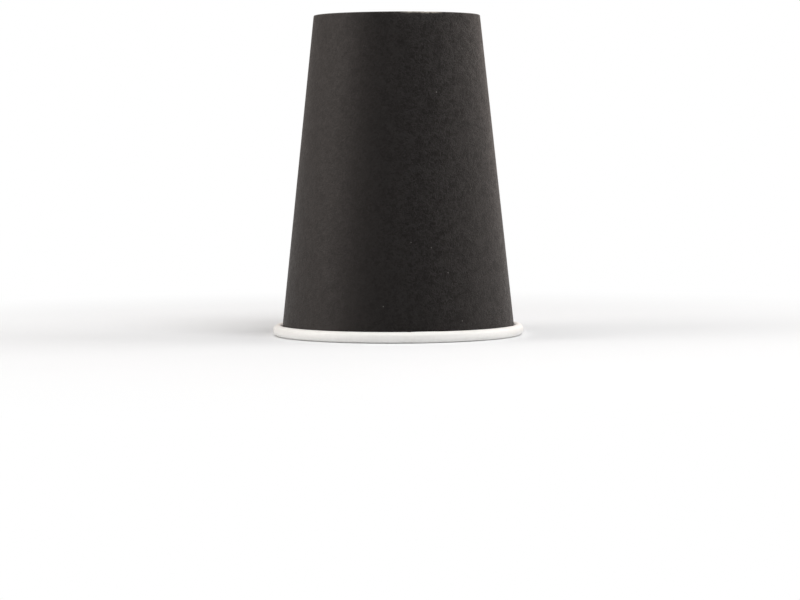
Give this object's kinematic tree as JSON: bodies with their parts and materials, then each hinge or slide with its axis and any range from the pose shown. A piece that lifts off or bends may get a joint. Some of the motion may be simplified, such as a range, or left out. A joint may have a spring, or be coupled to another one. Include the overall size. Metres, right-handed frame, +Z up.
{
  "type": "paper cup",
  "caption": "Tapered single-wall paperboard hot drink cup, black outside and white inside, with a rolled rim, a lap side seam and a recessed bottom, standing upside down on its rim.",
  "frame": {"origin": "centre of the cup's outline at the lowest point of its rolled rim, on which it stands upside down", "axes": "+Z up, from the rim to the foot; -Y towards the camera of the picture, +X to the picture's right"},
  "size_m": [0.09, 0.09, 0.1145],
  "materials": {
    "printed_board": "matte black print outside, white film inside and on the roll",
    "white_board": "white, satin film on the drink side"
  },
  "bodies": {
    "root": {"sidewall": "printed_board", "bottom_disc": "white_board"}
  },
  "joints": []
}
